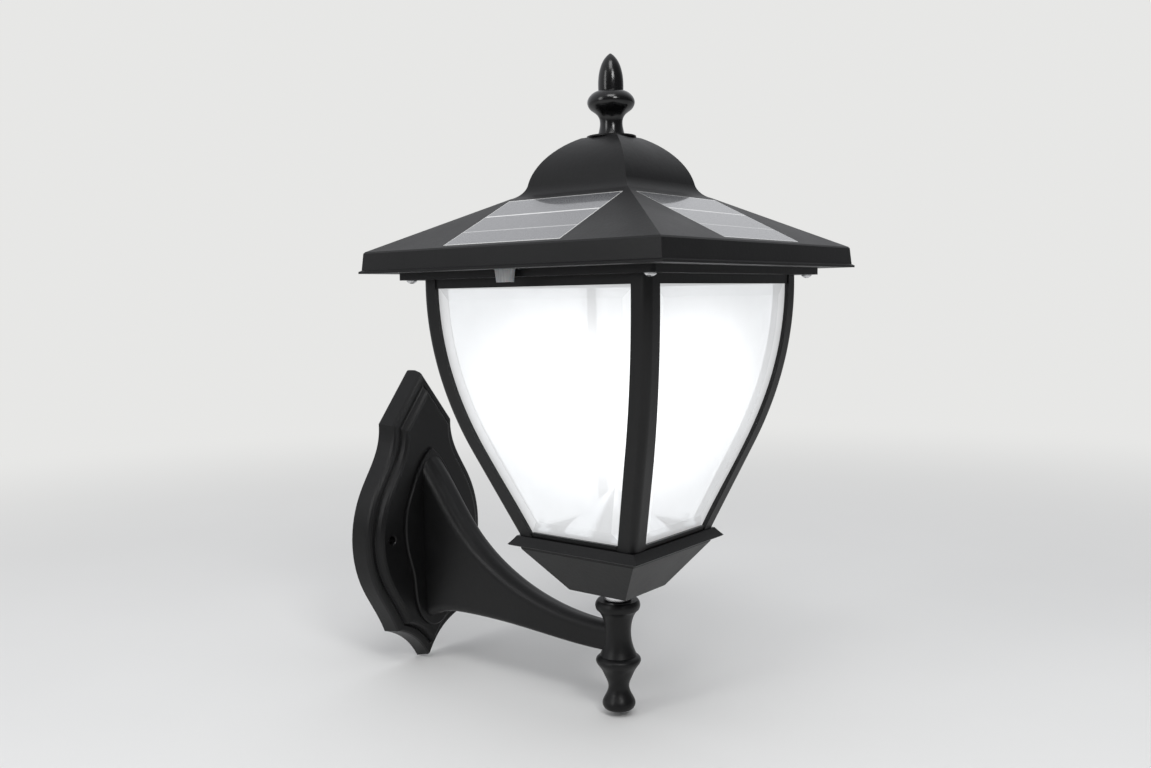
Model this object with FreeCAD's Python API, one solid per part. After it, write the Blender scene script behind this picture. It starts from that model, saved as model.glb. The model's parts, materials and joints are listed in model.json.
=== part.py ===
"""Solar wall lantern for a fence: square pagoda roof, curved posts and panes, swan-neck bracket.

Millimetres, +Z up. The wall is the plane y = 0 and the lantern stands off towards -Y.
The origin lies on the wall, midway between the two wall screws.
Lantern pieces are drawn about their own axis with the eave at height 0, then moved out.
"""
import FreeCAD
import Part
import math
import os

V = FreeCAD.Vector

# ---------------------------------------------------------------- wall plate
plate_width = 116.0        # across the bulge, at the wall
plate_height = 217.0       # apex to tip
plate_apex_z = 119.5       # apex above the wall screws
plate_rim_depth = 15.0     # height of the outer rim
plate_panel_depth = 20.0   # wall to raised front panel
plate_panel_inset = 12.6   # outline to flat of the raised panel
plate_apex_r = 3.0         # blunt round at the apex
plate_wall = 2.4           # shell thickness
wall_screw_spacing = 76.5
wall_screw_hole_r = 3.0
wall_screw_boss_r = 6.0

# ---------------------------------------------------------------- arm
arm_reach = 188.0          # wall to lantern axis
arm_root_width = 22.0
arm_tip_width = 14.2
arm_root_r = 9.0           # round along the top edges, at the plate
arm_tip_r = 6.2            # the same, at the collar
arm_low_root_r = 7.0       # round along the lower edges, at the plate
arm_low_tip_r = 1.8
pad_thickness = 3.0
pad_half_width = 28.0
arm_screw_r = 2.0
arm_screw_grip = 12.0      # thread length in the arm
arm_screw_heights = (36.0, -8.0, -48.0)

# ---------------------------------------------------------------- spindle under the lantern
cup_top_z = -23.0          # top of the collar, from the wall screws
cup_r = 14.4
collar_length = 36.0
neck_r = 8.5
drop_length = 35.4
stud_r = 4.0
stud_clearance = 0.4
steel_ring_r = 8.7
steel_ring_height = 7.6

# ---------------------------------------------------------------- base pan and deck
pan_height = 30.5
pan_top_half = 43.5
pan_bottom_half = 21.7
pan_wall = 3.0
deck_thickness = 5.8
deck_skirt_half = 49.0     # tip of the drip skirt
sill_height = 3.3

# ---------------------------------------------------------------- cage: posts and panes
post_length = 159.9
post_half = 83.1           # outer faces of the posts at the top
post_leg = 11.0
post_round = 4.5
bend_radius = 290.0
bend_start = 3.8           # straight length below the top frame
bend_height = 102.0        # height of the curved stretch
pane_setback = 3.0         # post face to pane face
pane_thickness = 3.0
pane_edge = 1.5            # thickness at the bevelled rim
pane_bevel = 11.0
pane_tuck = 3.6            # width hidden in each post
pane_clearance = 0.25
foot_screw_r = 1.4
foot_screw_gap = 3.4       # pane end to screw axis
foot_screw_depth = 6.0     # thread length in a post

# ---------------------------------------------------------------- top frame
frame_half = 93.4
frame_thickness = 4.3
frame_opening_half = 64.0
rail_drop = 5.4
rail_depth = 10.0

# ---------------------------------------------------------------- roof
eave_half = 110.0
eave_lip = 1.4
skirt_height = 12.65
skirt_draft = 0.9
slope_top_half = 44.4
slope_top_z = 44.1
dome_foot_half = 36.9
dome_foot_z = 51.9
dome_top_half = 13.2
dome_top_z = 80.8
roof_wall = 2.5
slope_wall = 4.0
cover_thickness = 2.5
gasket_thickness = 1.2
gasket_width = 3.0
roof_fit = 0.4             # cover to skirt
roof_screw_half = 87.5
roof_screw_r = 1.7
roof_boss_r = 4.6
panel_half_width = 42.6
panel_low_half = 104.5     # lower edge, in plan from the axis
panel_high_half = 47.6
panel_thickness = 1.8
panel_clearance = 0.3

# ---------------------------------------------------------------- finial on the dome
finial_height = 49.4
finial_ball_r = 14.6
finial_washer_r = 15.2
finial_washer_rise = 1.5
finial_screw_r = 2.5

# ---------------------------------------------------------------- lamp and roof electrics
led_board_r = 24.0
led_board_thickness = 1.6
led_count = 8
led_ring_r = 15.0
led_size = 3.5
lens_r = 27.0
lens_depth = 6.0
lens_wall = 1.5
cone_r = 33.5
cone_height = 29.0
cone_wall = 1.4
cell_r = 9.0
cell_length = 65.0
cell_y = -20.0
board_size = (52.0, 32.0, 1.6)
board_y = 22.0
board_standoff = 6.0

# ---------------------------------------------------------------- slide switch
switch_x = -98.2
switch_y = 1.6             # middle of the knob at rest
knob_width = 12.8
knob_thickness = 3.8
knob_drop = 7.2
knob_flange = 1.6
knob_taper = 0.6
switch_travel = 5.0
switch_gap = 0.3

# ---------------------------------------------------------------- derived heights, lantern frame
frame_bottom_z = -frame_thickness
post_foot_z = frame_bottom_z - post_length
deck_bottom_z = post_foot_z - deck_thickness
pan_bottom_z = deck_bottom_z - pan_height
eave_z = cup_top_z + steel_ring_height - pan_bottom_z
cup_z = pan_bottom_z - steel_ring_height
collar_bottom_z = cup_z - collar_length
bend_top_z = frame_bottom_z - bend_start
bend_low_z = bend_top_z - bend_height
foot_screw_inset = post_leg - pane_tuck - foot_screw_gap
slope_angle = math.degrees(math.atan2(slope_top_z - skirt_height,
                                      eave_half - eave_lip - skirt_draft - slope_top_half))


def line(p, q):
    return Part.LineSegment(p, q).toShape()


def arc(p, m, q):
    return Part.Arc(p, m, q).toShape()


def spline(points):
    curve = Part.BSplineCurve()
    curve.interpolate(points)
    return curve.toShape()


def az(half, z):
    """point of a lantern profile: distance from the axis, height"""
    return V(half, 0, z)


def cylinder(r, z_low, z_high, x=0.0, y=0.0):
    return Part.makeCylinder(r, z_high - z_low, V(x, y, z_low), V(0, 0, 1))


def block(x1, x2, y1, y2, z1, z2):
    return Part.makeBox(x2 - x1, y2 - y1, z2 - z1, V(x1, y1, z1))


def turned(edges):
    """solid of revolution about the lantern axis from edges that start and end on the axis"""
    wire = Part.Wire(edges + [line(edges[-1].Vertexes[-1].Point, edges[0].Vertexes[0].Point)])
    return Part.Face(wire).revolve(V(0, 0, 0), V(0, 0, 1), 360)


def cap(r, z_rim, z_pole):
    """arc of a circle centred on the axis, from the rim to the pole"""
    rise = z_pole - z_rim
    radius = (r * r + rise * rise) / (2 * abs(rise))
    centre = z_pole - math.copysign(radius, rise)
    turn = math.atan2(r, abs(z_rim - centre)) / 2
    mid = az(radius * math.sin(turn), centre + math.copysign(radius * math.cos(turn), rise))
    return arc(az(r, z_rim), mid, az(0, z_pole))


def turned_points(points):
    corners = [az(r, z) for r, z in points]
    edges = [line(p, q) for p, q in zip(corners[:-1], corners[1:])]
    return turned(edges)


def quarter(shape, turns):
    copy = shape.copy()
    copy.rotate(V(0, 0, 0), V(0, 0, 1), 90 * turns)
    return copy


def four(shape):
    """the shape and its three copies about the lantern axis"""
    return Part.makeCompound([quarter(shape, k) for k in range(4)])


def to_wall(shape):
    """lantern frame to the frame of the wall"""
    return shape.translated(V(0, -arm_reach, eave_z))


def export(shape, name):
    shape.exportStep("parts/" + name + ".step")


def square_body(edges):
    """four-sided body from the right half of its profile, bottom edge end to top edge end"""
    first = edges[0].Vertexes[0].Point
    last = edges[-1].Vertexes[-1].Point
    right = Part.Wire(edges)
    left = right.mirror(V(0, 0, 0), V(1, 0, 0))
    low = line(V(-first.x, 0, first.z), first)
    high = line(last, V(-last.x, 0, last.z))
    loop = Part.Wire(Part.__sortEdges__(right.Edges + left.Edges + [low, high]))
    reach = 2 * eave_half
    bar = Part.Face(loop).extrude(V(0, 2 * reach, 0)).translated(V(0, -reach, 0))
    return bar.common(quarter(bar, 1))


# ================================================================ wall plate

def plate_points():
    """right half of the outline at the wall: x, z, corner or smooth"""
    w = plate_width / 2
    h = plate_height
    top = plate_apex_z
    return [(0, top, True),
            (0.526 * w, top - 0.179 * h, True),
            (0.600 * w, top - 0.278 * h, False),
            (0.850 * w, top - 0.393 * h, False),
            (1.000 * w, top - 0.540 * h, False),
            (0.890 * w, top - 0.700 * h, False),
            (0.650 * w, top - 0.815 * h, False),
            (0.535 * w, top - 0.878 * h, True),
            (0.270 * w, top - 0.915 * h, False),
            (0, top - h, True)]


def pad_points():
    """right half of the leaf-shaped root pad"""
    w = pad_half_width
    return [(0, 62.0, True), (0.40 * w, 51.0, False), (0.70 * w, 35.5, False),
            (0.95 * w, 18.0, False), (1.0 * w, 3.0, False), (0.91 * w, -14.0, False),
            (0.76 * w, -29.0, False), (0.70 * w, -45.0, False), (0.55 * w, -58.0, False),
            (0.30 * w, -66.5, False), (0.12 * w, -69.3, False), (0, -69.8, True)]


def unit(dx, dz):
    length = math.hypot(dx, dz)
    return dx / length, dz / length


def inset_points(points, inset):
    """each point moved inwards, mitred at the corners"""
    full = points + [(-x, z, c) for x, z, c in reversed(points[1:-1])]
    count = len(full)
    moved = []
    for i in range(len(points)):
        before = full[i - 1]
        here = full[i]
        after = full[(i + 1) % count]
        if here[2]:
            a = unit(here[0] - before[0], here[1] - before[1])
            b = unit(after[0] - here[0], after[1] - here[1])
        else:
            a = unit(after[0] - before[0], after[1] - before[1])
            b = a
        n1 = (a[1], -a[0])
        n2 = (b[1], -b[0])
        scale = inset / (1 + n1[0] * n2[0] + n1[1] * n2[1])
        moved.append((here[0] + scale * (n1[0] + n2[0]), here[1] + scale * (n1[1] + n2[1])))
    return moved


def shield_wire(points, inset, depth):
    """closed symmetric outline at the given distance from the wall"""
    moved = inset_points(points, inset)
    corners = [i for i in range(len(points)) if points[i][2]]
    right = []
    for i, j in zip(corners[:-1], corners[1:]):
        run = [V(x, -depth, z) for x, z in moved[i:j + 1]]
        right.append(spline(run) if len(run) > 2 else line(run[0], run[1]))
    left = [e.mirror(V(0, 0, 0), V(1, 0, 0)) for e in right]
    return Part.Wire(Part.__sortEdges__(right + left))


def shield_body(points, levels):
    """stepped body: levels are (distance from the wall, inset of the outline)"""
    wires = [shield_wire(points, inset, depth) for depth, inset in levels]
    return Part.makeLoft(wires, True, True)


def apex_trim():
    """wedge outside the round that blunts the apex, taken off the full depth"""
    points = plate_points()
    dx = points[1][0] - points[0][0]
    dz = points[0][1] - points[1][1]
    half_angle = math.atan2(dx, dz)
    r = plate_apex_r
    centre = plate_apex_z - r / math.sin(half_angle)
    side_x = r * math.cos(half_angle)
    side_z = centre + r * math.sin(half_angle)
    top = plate_apex_z + 1
    edges = [arc(V(-side_x, 1, side_z), V(0, 1, centre + r), V(side_x, 1, side_z)),
             line(V(side_x, 1, side_z), V(side_x + 1, 1, top)),
             line(V(side_x + 1, 1, top), V(-side_x - 1, 1, top)),
             line(V(-side_x - 1, 1, top), V(-side_x, 1, side_z))]
    return Part.Face(Part.Wire(edges)).extrude(V(0, -2 * plate_panel_depth, 0))


def make_wall_plate():
    rim = plate_rim_depth
    panel = plate_panel_depth
    flat = plate_panel_inset
    outside = [(0, 0), (rim - 3.4, 2.0), (rim - 1.6, 2.7), (rim - 0.4, 3.9), (rim, 5.4),
               (rim, flat - 5.4), (rim - 0.7, flat - 4.6), (rim + 0.2, flat - 3.9),
               (panel - 1.9, flat - 2.7), (panel - 0.5, flat - 1.5), (panel, flat)]
    body = shield_body(plate_points(), outside).cut(apex_trim())
    inner_rim = shield_body(plate_points(), [(-1, plate_wall), (rim - plate_wall, plate_wall + 2.4)])
    inner_panel = shield_body(plate_points(), [(0, flat - 1.2), (panel - plate_wall, flat - 1.2)])
    body = body.cut(inner_rim).cut(inner_panel)
    body = body.fuse(block(-wall_screw_spacing / 2, wall_screw_spacing / 2, -panel + 1, 0, -1.5, 1.5))
    for side in (-1, 1):
        x = side * wall_screw_spacing / 2
        boss = Part.makeCylinder(wall_screw_boss_r, panel - 1, V(x, 0, 0), V(0, -1, 0))
        body = body.fuse(boss)
    for side in (-1, 1):
        x = side * wall_screw_spacing / 2
        body = body.cut(Part.makeCylinder(wall_screw_hole_r, panel + 2, V(x, 1, 0), V(0, -1, 0)))
        rim_r = wall_screw_hole_r + 0.6
        body = body.cut(Part.makeCone(wall_screw_hole_r, rim_r, 0.6, V(x, 0.6 - panel, 0), V(0, -1, 0)))
    for z in arm_screw_heights:
        body = body.cut(Part.makeCylinder(arm_screw_r + 0.3, panel + 2, V(0, 1, z), V(0, -1, 0)))
    return body.removeSplitter()


# ================================================================ bracket arm

def arm_profile():
    """side view of the arm between the wall plate and the lantern axis"""
    r = arm_reach
    root = plate_panel_depth
    span = r - root
    mid = cup_top_z - 25.0
    top = [V(0, -root, 58.0), V(0, -root - 0.12 * span, 34.0), V(0, -root - 0.26 * span, 5.0),
           V(0, -root - 0.445 * span, mid + 30.2), V(0, -root - 0.69 * span, mid + 14.6),
           V(0, -r, mid + 9.6)]
    low = [V(0, -r, mid - 7.8), V(0, -root - 0.55 * span, mid - 5.8),
           V(0, -root - 0.25 * span, mid - 5.4), V(0, -root - 0.10 * span, mid - 8.4),
           V(0, -root, mid - 16.4)]
    edges = [spline(top), line(top[-1], low[0]), spline(low), line(low[-1], top[0])]
    return Part.Face(Part.Wire(edges))


def arm_plan():
    """plan view of the arm, tapering towards the collar"""
    a = arm_root_width / 2
    b = arm_tip_width / 2
    y1 = -plate_panel_depth
    y2 = -arm_reach
    corners = [V(-a, y1, -200), V(a, y1, -200), V(b, y2, -200), V(-b, y2, -200), V(-a, y1, -200)]
    return Part.Face(Part.makePolygon(corners)).extrude(V(0, 0, 400))


def long_edges(shape, shortest):
    return [e for e in shape.Edges if e.Length > shortest]


def tapered_round(shape, edges, root_r, tip_r):
    """rounds edges that run from the wall plate to the collar, each in its own direction"""
    for edge in edges:
        same = min(long_edges(shape, 0.5 * edge.Length),
                   key=lambda e: e.CenterOfMass.distanceToPoint(edge.CenterOfMass))
        first = same.valueAt(same.FirstParameter)
        last = same.valueAt(same.LastParameter)
        if first.y > last.y:
            shape = shape.makeFillet(root_r, tip_r, [same])
        else:
            shape = shape.makeFillet(tip_r, root_r, [same])
    return shape


def arm_horn():
    side = arm_profile().extrude(V(arm_root_width, 0, 0)).translated(V(-arm_root_width / 2, 0, 0))
    horn = side.common(arm_plan())
    runs = long_edges(horn, 0.8 * (arm_reach - plate_panel_depth))
    middle = sum(e.CenterOfMass.z for e in runs) / len(runs)
    upper = [e for e in runs if e.CenterOfMass.z > middle]
    lower = [e for e in runs if e.CenterOfMass.z < middle]
    horn = tapered_round(horn, upper, arm_root_r, arm_tip_r)
    return tapered_round(horn, lower, arm_low_root_r, arm_low_tip_r)


def collar_solid():
    """turned collar at the end of the arm, lantern frame"""
    t = cup_z
    n = neck_r
    low = collar_bottom_z
    wall = [line(az(0, t), az(cup_r - 1.4, t)),
            spline([az(cup_r - 1.4, t), az(cup_r, t - 3.0), az(cup_r - 0.8, t - 6.2)]),
            spline([az(cup_r - 0.8, t - 6.2), az(n + 3.0, t - 8.3), az(n + 1.6, t - 11.0),
                    az(n, t - 17.5), az(n, low + 11.0), az(n + 3.4, low)]),
            line(az(n + 3.4, low), az(0, low))]
    return turned(wall)


def make_bracket_arm():
    pad = shield_body(pad_points(), [(plate_panel_depth, 0), (plate_panel_depth + pad_thickness - 0.9, 0.2),
                                     (plate_panel_depth + pad_thickness, 1.2)])
    body = arm_horn().fuse(pad).fuse(to_wall(collar_solid()))
    bore = cylinder(stud_r + stud_clearance, collar_bottom_z - 1, cup_z + 1)
    body = body.cut(to_wall(bore))
    for z in arm_screw_heights:
        hole = Part.makeCylinder(arm_screw_r, arm_screw_grip + 1, V(0, -plate_panel_depth, z), V(0, -1, 0))
        body = body.cut(hole)
    return body.removeSplitter()


def make_arm_screws():
    """three screws from behind, heads inside the wall plate"""
    seat = plate_panel_depth - plate_wall
    tip = plate_panel_depth + arm_screw_grip
    screws = []
    for z in arm_screw_heights:
        head = Part.makeCylinder(4.0, 2.6, V(0, -seat + 2.6, z), V(0, -1, 0))
        shank = Part.makeCylinder(arm_screw_r, tip - seat, V(0, -seat, z), V(0, -1, 0))
        screws.append(head.fuse(shank))
    return Part.makeCompound(screws)


# ================================================================ spindle, stud and base

def make_drop_finial():
    t = collar_bottom_z
    b = t - drop_length
    r = cup_r
    wall = [line(az(0, t), az(11.4, t)),
            spline([az(11.4, t), az(r, t - 3.6), az(11.6, t - 8.2), az(8.7, t - 14.0),
                    az(6.7, t - 19.8), az(8.6, t - 26.4), az(10.6, t - 31.4), az(10.0, b + 1.8)]),
            arc(az(10.0, b + 1.8), az(8.9, b + 0.6), az(7.0, b + 0.2)),
            line(az(7.0, b + 0.2), az(0, b))]
    thread = cylinder(stud_r, t - 16.5, t + 1)
    return turned(wall).cut(thread)


def make_clamp_stud():
    low = collar_bottom_z - 15.5
    high = post_foot_z + 11.0
    rod = cylinder(stud_r, low, high)
    return rod.makeChamfer(0.8, [rod.Edges[0], rod.Edges[2]])


def hexagon(across, z_low, z_high):
    r = across / math.sqrt(3)
    corners = [V(r * math.cos(math.radians(60 * k)), r * math.sin(math.radians(60 * k)), z_low)
               for k in range(7)]
    return Part.Face(Part.makePolygon(corners)).extrude(V(0, 0, z_high - z_low))


def make_stud_nut():
    z = post_foot_z + 1.6
    nut = hexagon(13.0, z, z + 6.5)
    crown = turned_points([(0, z), (6.6, z), (7.5, z + 1.0), (7.5, z + 5.5), (6.6, z + 6.5), (0, z + 6.5)])
    return nut.common(crown).cut(cylinder(stud_r, z - 1, z + 8))


def make_lock_washer():
    z = post_foot_z
    return cylinder(8.0, z, z + 1.6).cut(cylinder(stud_r + 0.2, z - 1, z + 3))


def make_steel_ring():
    ring = cylinder(steel_ring_r, cup_z, pan_bottom_z)
    ring = ring.makeChamfer(0.6, [ring.Edges[0], ring.Edges[2]])
    return ring.cut(cylinder(stud_r + stud_clearance, cup_z - 1, pan_bottom_z + 1))


def make_base_pan():
    t = deck_bottom_z
    b = pan_bottom_z
    outside = square_body([line(az(pan_bottom_half, b), az(pan_top_half - 0.7, t - 3.0)),
                           line(az(pan_top_half - 0.7, t - 3.0), az(pan_top_half, t))])
    lean = (pan_top_half - pan_bottom_half) / pan_height
    low_half = pan_bottom_half + lean * pan_wall - pan_wall * 1.15
    inside = square_body([line(az(low_half, b + pan_wall), az(pan_top_half - pan_wall - 0.7, t - 3.0)),
                          line(az(pan_top_half - pan_wall - 0.7, t - 3.0), az(pan_top_half - pan_wall, t + 1))])
    boss = cylinder(steel_ring_r + 1.5, b, b + pan_wall + 3.0)
    pan = outside.cut(inside).fuse(boss)
    return pan.cut(cylinder(stud_r + stud_clearance, b - 1, b + 12)).removeSplitter()


def flank_half(z, inset):
    """half width of the cage at a height, for a surface set in from the post faces"""
    r = bend_radius - inset
    centre = post_half - bend_radius
    if z >= bend_top_z:
        return post_half - inset
    sweep = math.asin(bend_height / bend_radius)
    z_end = bend_top_z - r * math.sin(sweep)
    if z >= z_end:
        return centre + math.sqrt(r * r - (bend_top_z - z) ** 2)
    return centre + r * math.cos(sweep) - math.tan(sweep) * (z_end - z)


def make_base_deck():
    t = post_foot_z
    b = deck_bottom_z
    lip = deck_skirt_half
    foot = flank_half(t, 0) + 0.6
    body = square_body([line(az(lip - 0.8, b), az(lip, b + 0.7)),
                        spline([az(lip, b + 0.7), az(foot + 1.6, t - 2.2), az(foot, t)])])
    sill_out = 0.7
    sill_in = post_leg - 1.0
    reach = flank_half(t, post_leg) - 0.2
    corners = [V(0, -flank_half(t, sill_out), t), V(0, -flank_half(t + sill_height, sill_out), t + sill_height),
               V(0, -flank_half(t + sill_height, sill_in), t + sill_height), V(0, -flank_half(t, sill_in), t),
               V(0, -flank_half(t, sill_out), t)]
    sill = Part.Face(Part.makePolygon(corners)).extrude(V(2 * reach, 0, 0)).translated(V(-reach, 0, 0))
    body = body.fuse(quarter(sill, 0)).fuse(quarter(sill, 1)).fuse(quarter(sill, 2)).fuse(quarter(sill, 3))
    body = body.fuse(cylinder(pan_top_half - pan_wall - 1.5, b - 2.4, b))
    body = body.cut(cylinder(stud_r + stud_clearance, b - 4, t + 2))
    at = flank_half(t, foot_screw_inset)
    hole = cylinder(foot_screw_r + 0.2, b - 1, t + 1, at, at)
    recess = cylinder(foot_screw_r + 1.4, b - 1, b + 2.0, at, at)
    body = body.cut(four(hole.fuse(recess)))
    for k in range(4):
        body = body.cut(quarter(pane_room(), k))
    return body.removeSplitter()


def make_foot_screws():
    at = flank_half(post_foot_z, foot_screw_inset)
    head = cylinder(foot_screw_r + 1.1, deck_bottom_z + 0.1, deck_bottom_z + 2.0, at, at)
    shank = cylinder(foot_screw_r, deck_bottom_z + 1.9, post_foot_z + foot_screw_depth - 0.5, at, at)
    return four(head.fuse(shank))


# ================================================================ posts and panes

def flank_edges(inset, z_high, z_low):
    """side line of the cage from top to bottom: straight, arc, straight"""
    r = bend_radius - inset
    centre = post_half - bend_radius
    sweep = math.asin(bend_height / bend_radius)
    top = az(post_half - inset, z_high)
    start = az(post_half - inset, bend_top_z)
    mid = az(centre + r * math.cos(sweep / 2), bend_top_z - r * math.sin(sweep / 2))
    end = az(centre + r * math.cos(sweep), bend_top_z - r * math.sin(sweep))
    low = az(flank_half(z_low, inset), z_low)
    return [line(top, start), arc(start, mid, end), line(end, low)]


def flank_band(inset_out, inset_in, z_high, z_low):
    """closed face between two side lines, in the plane y = 0"""
    outer = flank_edges(inset_out, z_high, z_low)
    inner = flank_edges(inset_in, z_high, z_low)
    top = line(inner[0].Vertexes[0].Point, outer[0].Vertexes[0].Point)
    low = line(inner[-1].Vertexes[-1].Point, outer[-1].Vertexes[-1].Point)
    return Part.Face(Part.Wire(Part.__sortEdges__(outer + inner + [top, low])))


def post_blank():
    band = flank_band(0, post_leg, frame_bottom_z, post_foot_z)
    across = band.extrude(V(0, 2 * post_half, 0))
    along = quarter(band, 1).extrude(V(2 * post_half, 0, 0))
    post = across.common(along)
    outer = [e for e in post.Edges if on_corner_line(e)]
    return post.makeFillet(post_round, outer)


def on_corner_line(edge):
    """true for the edges along the outside corner of a post"""
    middle = edge.valueAt((edge.FirstParameter + edge.LastParameter) / 2)
    half = flank_half(middle.z, 0)
    return abs(middle.x - half) < 0.01 and abs(middle.y - half) < 0.01


def pane_sections(grow):
    """levels of a pane, which stands on the bottom of its groove"""
    top = frame_bottom_z - 1.6 + grow
    low = post_foot_z + 1.2
    count = 6
    return [top + (low - top) * k / (count - 1) for k in range(count)]


def pane_room():
    """space for a pane: the same sheet, thicker and wider by the clearance"""
    wires = []
    g = pane_clearance
    for z in pane_sections(g):
        y_out = -flank_half(z, pane_setback - g)
        y_in = -flank_half(z, pane_setback + pane_thickness + g)
        w = flank_half(z, post_leg) + pane_tuck + g
        corners = [V(-w, y_in, z), V(w, y_in, z), V(w, y_out, z), V(-w, y_out, z), V(-w, y_in, z)]
        wires.append(Part.makePolygon(corners))
    return Part.makeLoft(wires, True, False)


def pane_sheet():
    """curved pane with bevelled side rims, as a loft through level sections"""
    wires = []
    for z in pane_sections(0):
        y_out = -flank_half(z, pane_setback)
        y_rim = -flank_half(z, pane_setback + pane_thickness - pane_edge)
        y_in = -flank_half(z, pane_setback + pane_thickness)
        w = flank_half(z, post_leg) + pane_tuck
        f = w - pane_bevel
        corners = [V(-w, y_in, z), V(w, y_in, z), V(w, y_rim, z), V(f, y_out, z),
                   V(-f, y_out, z), V(-w, y_rim, z), V(-w, y_in, z)]
        wires.append(Part.makePolygon(corners))
    return Part.makeLoft(wires, True, False)


def end_bevel(z_rim, z_full):
    """wedge that bevels the top or bottom rim of the front pane"""
    rim = V(0, -flank_half(z_rim, pane_setback + pane_thickness - pane_edge), z_rim)
    full = V(0, -flank_half(z_full, pane_setback), z_full)
    along = (rim - full).normalize()
    out = V(0, -along.z, along.y)
    if out.y > 0:
        out = out * -1
    p = full - along * 3
    q = rim + along * 3
    corners = [p, q, q + out * 8, p + out * 8, p]
    reach = post_half
    return Part.Face(Part.makePolygon(corners)).extrude(V(2 * reach, 0, 0)).translated(V(-reach, 0, 0))


def make_pane():
    heights = pane_sections(0)
    sheet = pane_sheet()
    sheet = sheet.cut(end_bevel(heights[0], heights[0] - pane_bevel))
    return sheet.cut(end_bevel(heights[-1], heights[-1] + pane_bevel))


def make_post():
    """post of the +X +Y corner with grooves for the two panes beside it"""
    post = post_blank()
    post = post.cut(quarter(pane_room(), 1)).cut(quarter(pane_room(), 2))
    foot = flank_half(post_foot_z, foot_screw_inset)
    head = flank_half(frame_bottom_z, foot_screw_inset)
    post = post.cut(cylinder(foot_screw_r, post_foot_z - 1, post_foot_z + foot_screw_depth, foot, foot))
    return post.cut(cylinder(foot_screw_r, frame_bottom_z - foot_screw_depth, frame_bottom_z + 1, head, head))


def make_pane_clips():
    """clear clips that press the lower corners of the panes outwards"""
    z = post_foot_z + sill_height
    half = flank_half(z, post_leg + 0.4)
    inner = flank_half(z, pane_setback + pane_thickness) - 0.15
    clips = []
    for side in (-1, 1):
        a = side * (half - 9.0)
        b = side * (half - 1.0)
        clip = block(min(a, b), max(a, b), -inner, -inner + 3.4, z, z + 2.0)
        tab_a = side * (half - 6.5)
        tab_b = side * (half - 3.5)
        tab = block(min(tab_a, tab_b), max(tab_a, tab_b), -inner, -inner + 1.4, z + 1.9, z + 5.0)
        clips.append(clip.fuse(tab).removeSplitter())
    pair = Part.makeCompound(clips)
    return four(pair)


def make_cone_reflector():
    z = post_foot_z + 0.0
    t = z + cone_height
    lean = cone_r / cone_height
    outside = turned([line(az(0, z), az(cone_r, z)), line(az(cone_r, z), az(cone_r, z + 1.2)),
                      line(az(cone_r, z + 1.2), az(2.4, t - 1.2)), cap(2.4, t - 1.2, t)])
    low_r = cone_r - cone_wall * 1.6
    peak = z + low_r / lean
    inside = turned_points([(0, z - 1), (low_r, z - 1), (low_r, z), (0.6, peak), (0, peak)])
    return outside.cut(inside)


# ================================================================ top frame

def make_top_frame():
    half = frame_half
    slab = block(-half, half, -half, half, frame_bottom_z, 0)
    slab = slab.makeFillet(2.5, [e for e in slab.Edges if abs(e.tangentAt(e.FirstParameter).z) > 0.9])
    o = frame_opening_half
    slab = slab.cut(block(-o, o, -o, o, frame_bottom_z - 1, 1))
    reach = post_half - post_leg - 0.2
    rail = block(-reach, reach, -post_half + 0.7, -post_half + 0.7 + rail_depth,
                 frame_bottom_z - rail_drop, frame_bottom_z)
    rail = rail.cut(pane_room())
    for k in range(4):
        slab = slab.cut(quarter(pane_room(), k)).fuse(quarter(rail, k))
    at = flank_half(frame_bottom_z, foot_screw_inset)
    hole = cylinder(foot_screw_r + 0.2, frame_bottom_z - 1, 1, at, at)
    recess = cylinder(foot_screw_r + 1.6, -2.0, 1, at, at)
    ear = cylinder(roof_screw_r + 0.2, frame_bottom_z - 1, 1, roof_screw_half, roof_screw_half)
    return slab.cut(four(hole.fuse(recess))).cut(four(ear)).removeSplitter()


def make_head_screws():
    at = flank_half(frame_bottom_z, foot_screw_inset)
    head = cylinder(foot_screw_r + 1.3, -2.0, -0.1, at, at)
    shank = cylinder(foot_screw_r, frame_bottom_z - foot_screw_depth + 0.5, -1.9, at, at)
    return four(head.fuse(shank))


# ================================================================ roof

def slope_height(half, below):
    """height of the slope, or of a surface parallel below it, over a distance from the axis"""
    rad = math.radians(slope_angle)
    return slope_top_z - (half - slope_top_half) * math.tan(rad) - below / math.cos(rad)


def roof_outside():
    skirt = eave_half - eave_lip
    top = skirt - skirt_draft
    edges = [line(az(eave_half, 0), az(eave_half, 1.2)),
             line(az(eave_half, 1.2), az(skirt, 2.0)),
             line(az(skirt, 2.0), az(top, skirt_height - 0.6)),
             line(az(top, skirt_height - 0.6), az(top - 0.8, slope_height(top - 0.8, 0))),
             line(az(top - 0.8, slope_height(top - 0.8, 0)), az(slope_top_half, slope_top_z)),
             arc(az(slope_top_half, slope_top_z), az(slope_top_half - 5.3, slope_top_z + 3.6),
                 az(dome_foot_half, dome_foot_z)),
             spline([az(dome_foot_half, dome_foot_z), az(0.93 * dome_foot_half, dome_foot_z + 8.1),
                     az(0.70 * dome_foot_half, dome_foot_z + 20.1), az(dome_top_half, dome_top_z)])]
    return square_body(edges)


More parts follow.
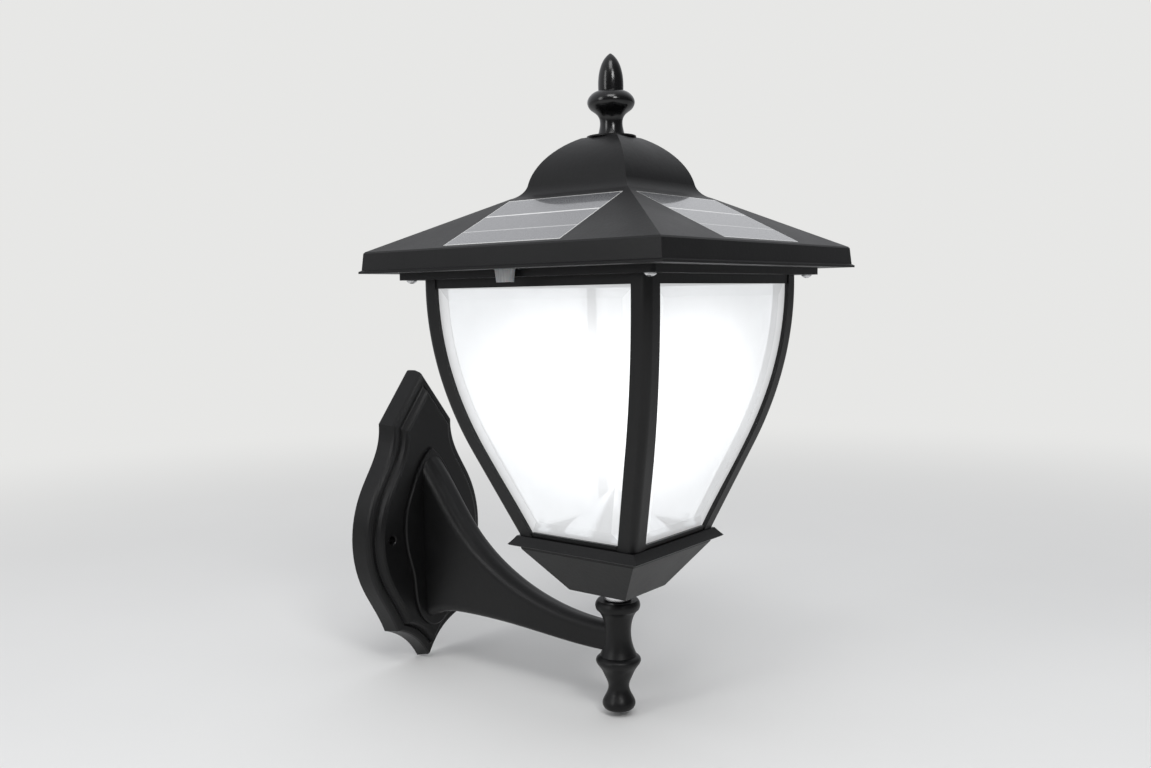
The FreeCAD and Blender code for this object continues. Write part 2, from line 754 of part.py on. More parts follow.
def roof_inside():
    wall = roof_wall
    edge = eave_half - eave_lip - wall
    ledge = cover_thickness + gasket_thickness
    inner = edge - gasket_width
    z_foot = slope_height(inner, slope_wall)
    high = slope_top_half - 1.0
    foot = dome_foot_half - wall
    edges = [line(az(edge, -1), az(edge, ledge)),
             line(az(edge, ledge), az(inner, ledge)),
             line(az(inner, ledge), az(inner, z_foot)),
             line(az(inner, z_foot), az(high, slope_height(high, slope_wall))),
             line(az(high, slope_height(high, slope_wall)), az(foot, dome_foot_z)),
             spline([az(foot, dome_foot_z), az(0.93 * dome_foot_half - wall, dome_foot_z + 7.4),
                     az(0.70 * dome_foot_half - wall, dome_foot_z + 18.4),
                     az(dome_top_half - 1.0, dome_top_z - wall)])]
    return square_body(edges)


def on_slope(width_half, low_half, high_half, thickness, sink):
    """plate lying in the front slope; its top is sunk by the given depth"""
    rad = math.radians(slope_angle)
    length = (low_half - high_half) / math.cos(rad)
    plate = Part.makeBox(2 * width_half, length, thickness, V(-width_half, 0, -thickness - sink))
    plate.rotate(V(0, 0, 0), V(1, 0, 0), slope_angle)
    return plate.translated(V(0, -low_half, slope_height(low_half, 0)))


def panel_pocket():
    c = panel_clearance
    pocket = on_slope(panel_half_width + c, panel_low_half + c, panel_high_half - c, panel_thickness + 3.0, -3.0)
    middle = (panel_low_half + panel_high_half) / 2
    z = slope_height(middle, 0)
    return pocket.fuse(cylinder(2.0, z - 12, z, 0, -middle))


def make_solar_panel():
    return on_slope(panel_half_width, panel_low_half, panel_high_half, panel_thickness, 0.0)


def make_roof_shell():
    outside = roof_outside()
    shell = outside.cut(roof_inside())
    at = roof_screw_half
    boss = cylinder(roof_boss_r, cover_thickness, slope_top_z, at, at).common(outside)
    for k in range(4):
        shell = shell.fuse(quarter(boss, k))
    for k in range(4):
        shell = shell.cut(quarter(panel_pocket(), k))
    top = slope_height(at, slope_wall) - 1.0
    shell = shell.cut(four(cylinder(roof_screw_r - 0.1, cover_thickness - 1, top - 1.0, at, at)))
    shell = shell.cut(cylinder(finial_screw_r + 0.2, dome_top_z - 10, dome_top_z + 1))
    return shell.removeSplitter()


def make_roof_cover():
    half = eave_half - eave_lip - roof_wall - roof_fit
    plate = block(-half, half, -half, half, 0, cover_thickness)
    at = roof_screw_half
    plate = plate.cut(four(cylinder(roof_screw_r + 0.2, -1, cover_thickness + 1, at, at)))
    w = knob_width / 2 + 0.5
    t = knob_thickness / 2 + 0.4
    slot = block(switch_x - t, switch_x + t, switch_y - w, switch_y + w + switch_travel, -1, cover_thickness + 1)
    plate = plate.cut(slot)
    plate = plate.cut(cylinder(3.0, -1, cover_thickness + 1, 0, 0))
    length, width, _ = board_size
    for sx in (-1, 1):
        for sy in (-1, 1):
            x = sx * (length / 2 - 4)
            y = board_y + sy * (width / 2 - 4)
            plate = plate.fuse(cylinder(2.6, cover_thickness - 0.5, cover_thickness + board_standoff, x, y))
    return plate.removeSplitter()


def make_gasket():
    outer = eave_half - eave_lip - roof_wall - 0.2
    inner = eave_half - eave_lip - roof_wall - gasket_width
    low = cover_thickness
    high = cover_thickness + gasket_thickness
    return block(-outer, outer, -outer, outer, low, high).cut(block(-inner, inner, -inner, inner, low - 1, high + 1))


def make_roof_screws():
    """screws in the ears of the top frame, up through the cover into the roof"""
    at = roof_screw_half
    z = frame_bottom_z
    head = turned([line(az(0, z), az(3.2, z)), line(az(3.2, z), az(3.2, z - 0.6)), cap(3.2, z - 0.6, z - 2.1)])
    head = head.translated(V(at, at, 0))
    shank = cylinder(roof_screw_r - 0.1, z - 0.1, cover_thickness + 9.0, at, at)
    cross = block(at - 1.8, at + 1.8, at - 0.4, at + 0.4, z - 3, z - 1.1)
    cross = cross.fuse(block(at - 0.4, at + 0.4, at - 1.8, at + 1.8, z - 3, z - 1.1))
    return four(head.fuse(shank).cut(cross))


# ================================================================ finial

def make_finial_washer():
    z = dome_top_z
    r = finial_washer_r
    h = finial_washer_rise
    body = turned_points([(0, z), (r, z), (r, z + 1.0), (10.0, z + h), (0, z + h)])
    return body.cut(cylinder(finial_screw_r + 0.2, z - 2, z + h + 1))


def make_top_finial():
    b = dome_top_z + finial_washer_rise
    ball = b + 20.0
    tip = b + finial_height
    r = finial_ball_r
    wall = [line(az(0, b), az(8.4, b)),
            spline([az(8.4, b), az(7.0, b + 6.4), az(7.4, b + 10.5), az(9.4, b + 13.4),
                    az(12.8, b + 16.0), az(r, ball), az(13.0, b + 23.8), az(8.4, b + 26.6)]),
            line(az(8.4, b + 26.6), az(7.7, b + 26.9)),
            spline([az(7.7, b + 26.9), az(7.7, b + 33.0), az(6.6, b + 40.0), az(4.2, b + 45.6), az(0.5, tip)]),
            line(az(0.5, tip), az(0, tip))]
    return turned(wall).cut(cylinder(finial_screw_r, b - 1, b + 18.0))


def make_finial_screw():
    """screw from inside the dome up into the finial"""
    seat = dome_top_z - roof_wall
    head = cylinder(4.6, seat - 3.0, seat)
    shank = cylinder(finial_screw_r - 0.05, seat - 0.1, dome_top_z + finial_washer_rise + 16.0)
    return head.fuse(shank).cut(block(-0.6, 0.6, -3.0, 3.0, seat - 4, seat - 1.8))


# ================================================================ lamp and electrics

def make_led_board():
    t = led_board_thickness
    return cylinder(led_board_r, -t, 0).cut(cylinder(2.4, -t - 1, 1))


def make_led_chips():
    z = -led_board_thickness
    s = led_size / 2
    chips = []
    for k in range(led_count):
        chip = block(led_ring_r - s, led_ring_r + s, -s, s, z - 0.9, z)
        chip.rotate(V(0, 0, 0), V(0, 0, 1), 360.0 * k / led_count)
        chips.append(chip)
    return Part.makeCompound(chips)


def lens_shell(r, depth):
    return turned([line(az(0, 0), az(r, 0)), line(az(r, 0), az(r, -1.8)), cap(r, -1.8, -depth)])


def make_led_lens():
    inside = lens_shell(lens_r - lens_wall, lens_depth - lens_wall)
    return lens_shell(lens_r, lens_depth).cut(inside)


def make_battery_cell():
    z = cover_thickness + 3.0 + cell_r
    cell = Part.makeCylinder(cell_r, cell_length, V(-cell_length / 2, cell_y, z), V(1, 0, 0))
    cap = Part.makeCylinder(2.8, 1.6, V(cell_length / 2, cell_y, z), V(1, 0, 0))
    return cell.fuse(cap)


def make_battery_cradle():
    z = cover_thickness
    reach = cell_length / 2 + 3.0
    side = cell_r + 3.0
    body = block(-reach - 3.0, reach + 3.0, cell_y - side, cell_y + side, z, z + 2 * cell_r - 2.0)
    room = Part.makeCylinder(cell_r + 0.2, 2 * reach, V(-reach, cell_y, z + 3.0 + cell_r), V(1, 0, 0))
    above = block(-reach, reach, cell_y - cell_r - 0.2, cell_y + cell_r + 0.2, z + 3.0 + cell_r, z + 60)
    return body.cut(room).cut(above)


def make_cell_contacts():
    """sprung metal tabs at both ends of the cell"""
    z = cover_thickness + 3.0 + cell_r
    reach = cell_length / 2 + 3.0
    left = block(-reach, -cell_length / 2, cell_y - 3.5, cell_y + 3.5, z - 4.0, z + 4.0)
    right = block(cell_length / 2 + 1.6, reach, cell_y - 3.5, cell_y + 3.5, z - 4.0, z + 4.0)
    return Part.makeCompound([left, right])


def make_control_board():
    length, width, t = board_size
    z = cover_thickness + board_standoff
    board = block(-length / 2, length / 2, board_y - width / 2, board_y + width / 2, z, z + t)
    chip = block(-4, 4, board_y - 3, board_y + 3, z + t - 0.05, z + t + 1.8)
    coil = cylinder(3.5, z + t - 0.05, z + t + 4.5, 14, board_y + 5)
    socket = block(-20, -12, board_y - 8, board_y + 8, z + t - 0.05, z + t + 5.5)
    return board.fuse(chip).fuse(coil).fuse(socket)


def make_switch_body():
    w = knob_width / 2
    low = cover_thickness
    f = knob_flange
    x1 = switch_x - knob_thickness / 2 - 1.0 - switch_gap
    x2 = switch_x + knob_thickness / 2 + 1.0 + switch_gap
    y1 = switch_y - w - 2.0 - switch_gap
    y2 = switch_y + w + switch_travel + 2.0 + switch_gap
    top = low + f + 2 * switch_gap
    outer = block(x1 - 1.0, x2 + 1.0, y1 - 1.2, y2 + 1.2, low, top + 2.6)
    return outer.cut(block(x1, x2, y1, y2, low - 1, top))


def make_switch_knob():
    """tab under the eave with its flange inside the switch"""
    w = knob_width / 2
    t = knob_thickness / 2
    low = -knob_drop
    neck_top = cover_thickness + switch_gap
    bottom = Part.makePolygon([V(-t + 0.4, -w + knob_taper, low), V(t - 0.4, -w + knob_taper, low),
                               V(t - 0.4, w - knob_taper, low), V(-t + 0.4, w - knob_taper, low),
                               V(-t + 0.4, -w + knob_taper, low)])
    root = Part.makePolygon([V(-t, -w, -0.2), V(t, -w, -0.2), V(t, w, -0.2), V(-t, w, -0.2), V(-t, -w, -0.2)])
    tab = Part.makeLoft([bottom, root], True, True)
    upright = [e for e in tab.Edges if abs(e.tangentAt(e.FirstParameter).z) > 0.9]
    tab = tab.makeFillet(1.0, upright)
    neck = block(-t, t, -w, w, -0.25, neck_top + 0.1)
    flange = block(-t - 1.0, t + 1.0, -w - 2.0, w + 2.0, neck_top, neck_top + knob_flange)
    knob = tab.fuse(neck).fuse(flange).removeSplitter()
    return knob.translated(V(switch_x, switch_y, 0))


# ================================================================ build

def build():
    os.makedirs("parts", exist_ok=True)
    export(make_wall_plate(), "wall_plate")
    export(make_bracket_arm(), "bracket_arm")
    export(make_arm_screws(), "arm_screws")
    lantern = {
        "drop_finial": make_drop_finial(),
        "clamp_stud": make_clamp_stud(),
        "stud_nut": make_stud_nut(),
        "lock_washer": make_lock_washer(),
        "steel_ring": make_steel_ring(),
        "base_pan": make_base_pan(),
        "base_deck": make_base_deck(),
        "foot_screws": make_foot_screws(),
        "pane_clips": make_pane_clips(),
        "cone_reflector": make_cone_reflector(),
        "top_frame": make_top_frame(),
        "head_screws": make_head_screws(),
        "roof_shell": make_roof_shell(),
        "roof_cover": make_roof_cover(),
        "cover_gasket": make_gasket(),
        "roof_screws": make_roof_screws(),
        "finial_washer": make_finial_washer(),
        "top_finial": make_top_finial(),
        "finial_screw": make_finial_screw(),
        "led_board": make_led_board(),
        "led_chips": make_led_chips(),
        "led_lens": make_led_lens(),
        "battery_cell": make_battery_cell(),
        "battery_cradle": make_battery_cradle(),
        "cell_contacts": make_cell_contacts(),
        "control_board": make_control_board(),
        "switch_body": make_switch_body(),
        "switch_knob": make_switch_knob(),
    }
    sides = ("front", "right", "back", "left")
    post = make_post()
    pane = make_pane()
    panel = make_solar_panel()
    for k in range(4):
        lantern["corner_post_" + str(k + 1)] = quarter(post, k)
        lantern["glass_pane_" + sides[k]] = quarter(pane, k)
        lantern["solar_panel_" + sides[k]] = quarter(panel, k)
    for name, shape in lantern.items():
        export(to_wall(shape), name)


build()
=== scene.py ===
"""Looks of the solar wall lantern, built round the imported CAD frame.

Metres, in the row frame: the wall is the plane y = 0 with +Y into it, and +Z is up. The
lantern stands off towards -Y, with its own upright axis at (0, AXIS_Y).
"""
import json
import math
import bpy
from mathutils import Matrix, Vector


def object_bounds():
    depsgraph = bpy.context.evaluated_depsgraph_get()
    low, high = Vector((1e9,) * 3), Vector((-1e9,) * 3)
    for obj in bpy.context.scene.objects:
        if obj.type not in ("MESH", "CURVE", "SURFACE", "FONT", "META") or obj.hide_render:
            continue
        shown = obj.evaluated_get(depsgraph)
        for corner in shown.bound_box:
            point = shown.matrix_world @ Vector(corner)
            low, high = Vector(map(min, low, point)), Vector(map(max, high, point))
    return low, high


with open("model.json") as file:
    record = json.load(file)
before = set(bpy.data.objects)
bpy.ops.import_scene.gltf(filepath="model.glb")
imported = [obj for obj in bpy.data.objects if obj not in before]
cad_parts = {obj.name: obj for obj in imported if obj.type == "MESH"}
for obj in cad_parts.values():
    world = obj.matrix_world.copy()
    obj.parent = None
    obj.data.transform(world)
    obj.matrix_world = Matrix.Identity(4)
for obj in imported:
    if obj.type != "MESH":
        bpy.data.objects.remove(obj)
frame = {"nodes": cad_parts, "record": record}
cad_low, cad_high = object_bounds()
nodes = frame["nodes"]

AXIS_Y = -0.188                 # lantern axis, from the wall

# clear panes: a painted glow on each, light given off by the pane itself in a soft oval, drawn
# towards the (-x, -y) and (+x, +y) corners
GLOW_ASIDE = 0.028              # middle of the glow, from the middle of a pane
GLOW_Z = 0.110                  # and above the wall screws
GLOW_REACH = (0.100, 0.074)     # from there to its end, across and up
GLOW_CORE = 0.08                # share of that reach at full strength
PANE_PAINTED_LIGHT = (0.52, 0.92)       # painted light given off by the pane, away from the glow and in it
PANE_MILK = (0.47, 0.72)        # share of milky body, the same; the milky body carries the painted glow
PANE_MILK_MOST = 0.94
BEVEL_SLANT = (0.05, 0.10)      # sideways part of the normal where a bevel begins and is full
BEVEL_HIGHLIGHT_AND_MILK = 0.10              # painted highlight and added milkiness on a bevel

# solar panels: places are distances from the lantern axis, in plan
PANEL_SIDES = (0.0418, 0.0420)  # where the painted glint line along the edges begins and is full
PANEL_TOP = (0.0486, 0.0484)
PANEL_FOOT = (0.1036, 0.1038)
BUSBARS = ((0.0690, 0.00060, 1.0), (0.0885, 0.00045, 0.45))     # place, half width, strength
FINGER_PITCH = 0.0022
FINGER_SHARE = 0.10             # of the pitch that a finger fills

MIDDLE = (0.3, 0.7)             # stretch of a noise that holds nearly all of its values

# stage and surroundings
BACKDROP = (0.80, 0.80, 0.79)
FLOOR_HALF = 12.0
FLOOR_GAP = 0.0005              # below the lowest point of the lantern
FLOOR_FADE = (0.35, 1.6)        # floor passes into the backdrop between these distances
SKY_BRIGHT_WAY = (0.15, 0.65, 0.74)
SKY_SPREAD = (-0.25, 0.85)      # cosine to that way where the sky is darkest and brightest
SKY_STRENGTH = (0.12, 0.82)
SKY_COLOUR = (0.96, 0.97, 1.0)

# camera, fitted to corners of the lantern
YAW, PITCH, ROLL = -0.8994925, 0.0821111, -0.0165387
PLACE = Vector((-0.5290908, -0.5769085, 0.1688485))
FOCAL_PX = 1051.593
IMAGE_WIDTH_PX = 1151.0
SENSOR_MM = 36.0


# ------------------------------------------------------------------ node helpers
def rgb(colour, share=1.0):
    """colour with full alpha, darkened to a share of itself"""
    r, g, b = colour
    return (share * r, share * g, share * b, 1.0)


class Tree:
    """The node tree of a material or world, with short calls for what this file needs."""

    def __init__(self, owner, output="ShaderNodeOutputMaterial"):
        owner.use_nodes = True
        self.owner = owner
        self.nt = owner.node_tree
        self.nt.nodes.clear()
        self.out = self.nt.nodes.new(output)

    def put(self, socket, value):
        if isinstance(value, bpy.types.NodeSocket):
            self.nt.links.new(value, socket)
        else:
            socket.default_value = value

    def node(self, kind, settings=None, **inputs):
        """new node: settings are its own properties, inputs its sockets, _ for a blank"""
        made = self.nt.nodes.new(kind)
        for key, value in (settings or {}).items():
            setattr(made, key, value)
        for key, value in inputs.items():
            self.put(made.inputs[key.replace("_", " ")], value)
        return made

    def place(self, origin=(0, 0, 0), scale=(1, 1, 1)):
        """object coordinates, counted from another origin or stretched by a scale"""
        point = self.node("ShaderNodeTexCoord").outputs["Object"]
        if tuple(origin) == (0, 0, 0) and tuple(scale) == (1, 1, 1):
            return point
        location = tuple(-o for o in origin)
        return self.node("ShaderNodeMapping", Vector=point, Location=location,
                         Scale=scale).outputs["Vector"]

    def noise(self, vector, scale, detail=2.0, rough=0.5):
        return self.node("ShaderNodeTexNoise", Vector=vector, Scale=scale, Detail=detail,
                         Roughness=rough).outputs["Fac"]

    def ramp(self, value, ends, to=(0.0, 1.0), smooth=False):
        """value carried from the range ends to the range to, and held beyond it"""
        kind = "SMOOTHSTEP" if smooth else "LINEAR"
        return self.node("ShaderNodeMapRange", {"interpolation_type": kind}, Value=value,
                         From_Min=ends[0], From_Max=ends[1],
                         To_Min=to[0], To_Max=to[1]).outputs["Result"]

    def math(self, kind, a, b=None):
        made = self.node("ShaderNodeMath", {"operation": kind})
        self.put(made.inputs[0], a)
        if b is not None:
            self.put(made.inputs[1], b)
        return made.outputs[0]

    def within(self, value, middle, half_width):
        """1 where the value lies this near to the middle, else 0"""
        away = self.math("ABSOLUTE", self.math("SUBTRACT", value, middle))
        return self.math("LESS_THAN", away, half_width)

    def length(self, a, b):
        squares = self.math("ADD", self.math("POWER", a, 2.0), self.math("POWER", b, 2.0))
        return self.math("SQRT", squares)

    def mix(self, share, a, b):
        return self.node("ShaderNodeMix", {"data_type": "RGBA"}, Factor=share, A=a,
                         B=b).outputs["Result"]

    def axes(self, vector):
        return self.node("ShaderNodeSeparateXYZ", Vector=vector).outputs

    def bump(self, height, strength, distance):
        return self.node("ShaderNodeBump", Strength=strength, Distance=distance,
                         Height=height).outputs["Normal"]

    def shader(self, **inputs):
        return self.node("ShaderNodeBsdfPrincipled", **inputs).outputs[0]

    def blend(self, share, first, second):
        made = self.node("ShaderNodeMixShader", Fac=share)
        self.put(made.inputs[1], first)
        self.put(made.inputs[2], second)
        return made.outputs[0]

    def show(self, shader):
        """the shader becomes the surface; gives back the material or world"""
        self.put(self.out.inputs["Surface"], shader)
        return self.owner


# ------------------------------------------------------------------ materials
def powder_coat(name, dark, light, rough, spec, depth=0.00018):
    """black powder coat: orange peel with a finer grain on it, and a faint cloudiness"""
    t = Tree(bpy.data.materials.new(name))
    p = t.place()
    grain = t.noise(p, scale=1500.0, detail=3.0, rough=0.55)
    peel = t.noise(p, scale=420.0)
    cloud = t.noise(p, scale=28.0, detail=4.0, rough=0.6)
    height = t.math("ADD", t.math("MULTIPLY", grain, 0.45), peel)
    roughness = t.math("ADD", t.ramp(cloud, (0.25, 0.75), rough),
                       t.ramp(grain, MIDDLE, (-0.03, 0.03)))
    return t.show(t.shader(Base_Color=t.mix(t.ramp(cloud, MIDDLE), rgb(dark), rgb(light)),
                           Roughness=roughness, Specular_IOR_Level=spec,
                           Normal=t.bump(height, 0.35, depth)))


def brushed(name, colour, rough):
    """bright steel with fine turning marks, which lie level"""
    t = Tree(bpy.data.materials.new(name))
    marks = t.noise(t.place(scale=(1, 1, 60)), scale=900.0, detail=3.0, rough=0.6)
    cloud = t.noise(t.place(), scale=90.0)
    return t.show(t.shader(Base_Color=t.mix(t.ramp(cloud, MIDDLE), rgb(colour), rgb(colour, 0.72)),
                           Metallic=1.0,
                           Roughness=t.ramp(marks, MIDDLE, (rough - 0.07, rough + 0.1)),
                           Normal=t.bump(marks, 0.25, 0.00005)))


def painted_pane_glow(t):
    """1 in the middle of a pane's painted glow, falling smoothly to 0 where it ends"""
    x, y, z = t.axes(t.place(origin=(0, AXIS_Y, GLOW_Z)))
    pane_distance = t.math("MAXIMUM", t.math("ABSOLUTE", x), t.math("ABSOLUTE", y))
    along_pane = t.math("DIVIDE", t.math("MULTIPLY", x, y), pane_distance)
    across = t.math("DIVIDE", t.math("SUBTRACT", along_pane, GLOW_ASIDE), GLOW_REACH[0])
    up = t.math("DIVIDE", z, GLOW_REACH[1])
    return t.ramp(t.length(across, up), (1.0, GLOW_CORE), smooth=True)


def pane_bevel(t):
    """1 on the slanting bands at the sides of a pane, else 0"""
    nx, ny, _ = t.axes(t.node("ShaderNodeNewGeometry").outputs["True Normal"])
    slant = t.math("MINIMUM", t.math("ABSOLUTE", nx), t.math("ABSOLUTE", ny))
    return t.ramp(slant, BEVEL_SLANT)


def clear_pane(name):
    """moulded pane: clear with a milky body and bevelled rims, with a painted glow given off by
    the pane itself, though it is no lamp
    """
    t = Tree(bpy.data.materials.new(name))
    p = t.place()
    wave = t.noise(p, scale=34.0)
    speck = t.noise(p, scale=60.0)
    glow = painted_pane_glow(t)
    # painted highlight on the bevels: more light given off and more milkiness there
    bevel_highlight_and_milk = t.math("MULTIPLY", pane_bevel(t), BEVEL_HIGHLIGHT_AND_MILK)
    # painted light: emission strength of the pane, from the painted glow and the painted bevel
    # highlight
    light = t.math("ADD", t.ramp(glow, (0.0, 1.0), PANE_PAINTED_LIGHT), bevel_highlight_and_milk)
    milk = t.math("ADD", t.ramp(glow, (0.0, 1.0), PANE_MILK), bevel_highlight_and_milk)
    clear = t.node("ShaderNodeBsdfTransparent", Color=rgb((0.96, 0.97, 0.98))).outputs[0]
    milk_and_painted_glow = t.shader(Base_Color=t.mix(t.ramp(speck, MIDDLE), rgb((0.60, 0.61, 0.62)),
                                     rgb((0.57, 0.58, 0.59))),
                    Roughness=0.10, IOR=1.5, Specular_IOR_Level=0.35,
                    Normal=t.bump(wave, 0.05, 0.0005),
                    Emission_Color=rgb((1.0, 1.0, 1.0)), Emission_Strength=light)
    return t.show(t.blend(t.math("MINIMUM", milk, PANE_MILK_MOST), clear, milk_and_painted_glow))


def solar_cells(name):
    """dark cells under a clear cover: busbars, fine fingers, pale flecks and a painted glint line
    along the edges
    """
    t = Tree(bpy.data.materials.new(name))
    p = t.place()
    x, y, _ = t.axes(t.place(origin=(0, AXIS_Y, 0)))
    ax, ay = t.math("ABSOLUTE", x), t.math("ABSOLUTE", y)
    down = t.math("MAXIMUM", ax, ay)
    along = t.math("MINIMUM", ax, ay)
    # painted highlight: a pale glint line along the panel's edges
    painted_edge_glint = t.math("MAXIMUM", t.ramp(along, PANEL_SIDES), t.ramp(down, PANEL_TOP))
    painted_edge_glint = t.math("MAXIMUM", painted_edge_glint, t.ramp(down, PANEL_FOOT))
    bars = 0.0
    for place, half_width, strength in BUSBARS:
        bar = t.math("MULTIPLY", t.within(down, place, half_width), strength)
        bars = t.math("MAXIMUM", bars, bar)
    fingers = t.math("LESS_THAN", t.math("FRACT", t.math("DIVIDE", along, FINGER_PITCH)),
                     FINGER_SHARE)
    flake = t.node("ShaderNodeTexVoronoi", Vector=p, Scale=900.0).outputs["Distance"]
    rare = t.ramp(t.noise(p, scale=260.0), (0.52, 0.60))
    flecks = t.math("MULTIPLY", t.ramp(flake, (0.16, 0.05)), rare)
    grain = t.noise(p, scale=1600.0)
    colour = t.mix(t.ramp(grain, MIDDLE), rgb((0.060, 0.062, 0.068)), rgb((0.095, 0.098, 0.105)))
    colour = t.mix(t.math("MULTIPLY", fingers, 0.25), colour, rgb((0.35, 0.35, 0.36)))
    colour = t.mix(t.math("MULTIPLY", flecks, 0.8), colour, rgb((0.75, 0.76, 0.77)))
    colour = t.mix(bars, colour, rgb((0.80, 0.80, 0.79)))
    # the painted edge glint, laid over everything else
    colour = t.mix(painted_edge_glint, colour, rgb((0.55, 0.55, 0.54)))
    return t.show(t.shader(Base_Color=colour, Roughness=t.ramp(grain, MIDDLE, (0.24, 0.32)),
                           Coat_Weight=1.0, Coat_Roughness=0.05, Coat_IOR=1.5,
                           Normal=t.bump(grain, 0.15, 0.00004)))


def milky(name, colour, rough):
    """translucent plastic with fine moulding lines down its height"""
    t = Tree(bpy.data.materials.new(name))
    lines = t.noise(t.place(scale=(1, 1, 0.03)), scale=1100.0)
    cloud = t.noise(t.place(), scale=160.0, detail=3.0)
    return t.show(t.shader(Base_Color=t.mix(t.ramp(lines, (0.35, 0.65)), rgb(colour),
                                            rgb(colour, 0.62)),
                           Roughness=t.ramp(cloud, MIDDLE, (rough - 0.05, rough + 0.05)),
                           Subsurface_Weight=0.25, Subsurface_Scale=0.002,
                           Normal=t.bump(lines, 0.3, 0.00010)))


def plain(name, colour, rough, metallic=0.0):
    """one colour, a little cloudy, with a fine moulded grain"""
    t = Tree(bpy.data.materials.new(name))
    p = t.place()
    grain = t.noise(p, scale=500.0, detail=3.0, rough=0.55)
    cloud = t.noise(p, scale=40.0, detail=3.0)
    return t.show(t.shader(Base_Color=t.mix(t.ramp(cloud, MIDDLE), rgb(colour), rgb(colour, 0.85)),
                           Metallic=metallic,
                           Roughness=t.ramp(grain, MIDDLE, (rough - 0.05, rough + 0.05)),
                           Specular_IOR_Level=0.5, Normal=t.bump(grain, 0.3, 0.00008)))


def materials():
    """every material, by the slot's name in the record, and the finial's own glossy coat"""
    dark, light = (0.0036, 0.0036, 0.0038), (0.0058, 0.0058, 0.0061)
    made = {
        "satin_black": powder_coat("satin_black", dark, light, (0.35, 0.43), 0.27),
        "gloss_black": powder_coat("gloss_black", (0.0030, 0.0030, 0.0032),
                                   (0.0045, 0.0045, 0.0048), (0.16, 0.22), 0.45, 0.00008),
        "roof_black": powder_coat("roof_black", dark, light, (0.38, 0.46), 0.27),
        "bright_steel": brushed("bright_steel", (0.78, 0.78, 0.79), 0.24),
        "clear_pane": clear_pane("clear_pane"),
        "solar_cell": solar_cells("solar_cell"),
        "grey_tab": milky("grey_tab", (0.40, 0.41, 0.42), 0.35),
    }
    # name, colour, roughness and metallic
    for name, colour, rough, metallic in (
            ("clear_clip", (0.85, 0.87, 0.88), 0.15, 0.0),
            ("bright_reflector", (0.86, 0.87, 0.88), 0.14, 1.0),
            ("lens_white", (0.9, 0.9, 0.89), 0.3, 0.0),
            ("led_yellow", (0.9, 0.75, 0.35), 0.4, 0.0),
            ("board_white", (0.85, 0.85, 0.83), 0.4, 0.0),
            ("board_green", (0.03, 0.2, 0.08), 0.4, 0.0),
            ("gasket_rubber", (0.03, 0.03, 0.03), 0.8, 0.0),
            ("cell_sleeve", (0.1, 0.32, 0.14), 0.3, 0.0),
            ("inner_black", (0.02, 0.02, 0.021), 0.5, 0.0),
            ("contact_plate", (0.78, 0.77, 0.74), 0.25, 1.0)):
        made[name] = plain(name, colour, rough, metallic)
    return made


made = materials()
slot_of = {s["node"]: s["material_slot"] for s in frame["record"]["subparts"]}
slot_of["top_finial"] = "gloss_black"
for name, obj in nodes.items():
    obj.data.materials.clear()
    obj.data.materials.append(made[slot_of[name]])


# ------------------------------------------------------------------ stage
def sheet(name, half, z):
    """level square about the origin"""
    corners = [(-half, -half, z), (half, -half, z), (half, half, z), (-half, half, z)]
    mesh = bpy.data.meshes.new(name)
    mesh.from_pydata(corners, [], [list(range(len(corners)))])
    obj = bpy.data.objects.new(name, mesh)
    bpy.context.scene.collection.objects.link(obj)
    return obj


def pale_floor(name, colour):
    """pale floor that passes into the backdrop's own tone further out"""
    t = Tree(bpy.data.materials.new(name))
    cloud = t.noise(t.place(), scale=3.0, detail=3.0)
    lit = t.node("ShaderNodeBsdfDiffuse",
                 Color=t.mix(t.ramp(cloud, MIDDLE), rgb(colour), rgb(colour, 0.97))).outputs[0]
    tone = t.node("ShaderNodeEmission", Color=rgb(BACKDROP)).outputs[0]
    x, y, _ = t.axes(t.place(origin=(0, AXIS_Y, 0)))
    faded = t.ramp(t.length(x, y), FLOOR_FADE, smooth=True)
    seen = t.node("ShaderNodeLightPath").outputs["Is Camera Ray"]
    return t.show(t.blend(t.math("MULTIPLY", seen, faded), lit, tone))


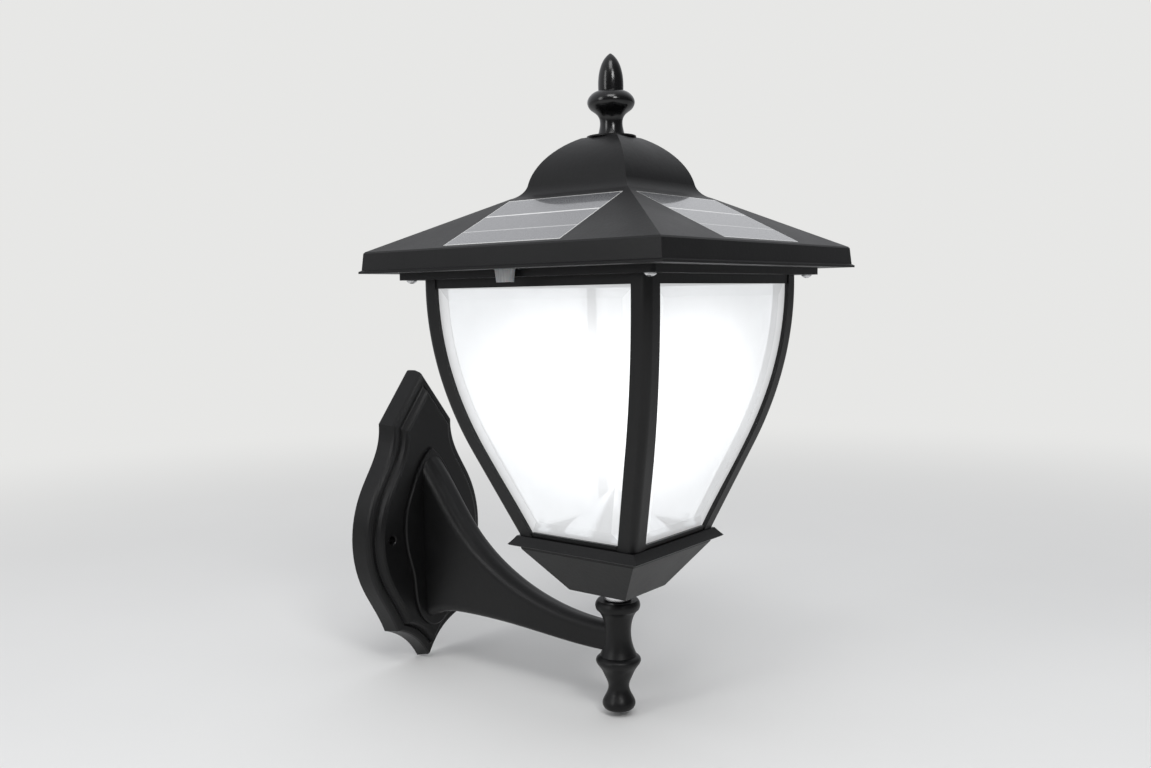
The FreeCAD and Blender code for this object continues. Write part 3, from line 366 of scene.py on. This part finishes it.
def studio():
    """soft surroundings, brighter above and behind, and a plain pale backdrop to the eye"""
    t = Tree(bpy.data.worlds.new("studio"), "ShaderNodeOutputWorld")
    toward = t.node("ShaderNodeVectorMath", {"operation": "DOT_PRODUCT"})
    t.put(toward.inputs[0], t.node("ShaderNodeTexCoord").outputs["Generated"])
    t.put(toward.inputs[1], Vector(SKY_BRIGHT_WAY).normalized())
    strength = t.ramp(toward.outputs["Value"], SKY_SPREAD, SKY_STRENGTH, smooth=True)
    soft = t.node("ShaderNodeBackground", Color=rgb(SKY_COLOUR), Strength=strength).outputs[0]
    plain_back = t.node("ShaderNodeBackground", Color=rgb(BACKDROP)).outputs[0]
    seen = t.node("ShaderNodeLightPath").outputs["Is Camera Ray"]
    bpy.context.scene.world = t.show(t.blend(seen, soft, plain_back))


def area(name, place, aim_z, size, power):
    """rectangular lamp that faces the lantern's axis at a height"""
    light = bpy.data.lights.new(name, "AREA")
    light.shape = "RECTANGLE"
    light.size, light.size_y = size
    light.energy = power
    obj = bpy.data.objects.new(name, light)
    obj.location = place
    direction = Vector((0.0, AXIS_Y, aim_z)) - Vector(place)
    obj.rotation_euler = direction.to_track_quat("-Z", "Y").to_euler()
    bpy.context.scene.collection.objects.link(obj)


floor = sheet("floor", FLOOR_HALF, cad_low.z - FLOOR_GAP)
floor.data.materials.append(pale_floor("floor_pale", BACKDROP))
studio()
area("key", (-0.75, -0.75, 1.5), 0.12, (0.7, 0.7), 9.0)
area("side", (-1.5, 0.25, 0.75), 0.12, (0.4, 0.9), 5.0)
area("spark", (-0.60, -1.15, 0.85), 0.25, (0.30, 0.30), 4.5)


# ------------------------------------------------------------------ camera
def camera():
    """camera at PLACE, turned by yaw and pitch and then rolled about its own line of sight"""
    data = bpy.data.cameras.new("camera")
    data.sensor_fit = "HORIZONTAL"
    data.sensor_width = SENSOR_MM
    data.lens = FOCAL_PX / IMAGE_WIDTH_PX * SENSOR_MM
    data.clip_start = 0.01
    data.clip_end = 100.0
    backward = Vector((math.sin(YAW) * math.cos(PITCH),
                       -math.cos(YAW) * math.cos(PITCH),
                       math.sin(PITCH)))
    right = (-backward).cross(Vector((0, 0, 1))).normalized()
    up = right.cross(-backward)
    c, s = math.cos(ROLL), math.sin(ROLL)
    turn = Matrix((c * right + s * up, c * up - s * right, backward)).transposed().to_4x4()
    obj = bpy.data.objects.new("camera", data)
    obj.matrix_world = Matrix.Translation(PLACE) @ turn
    bpy.context.scene.collection.objects.link(obj)
    bpy.context.scene.camera = obj


camera()
bpy.context.scene.view_settings.view_transform = "Standard"
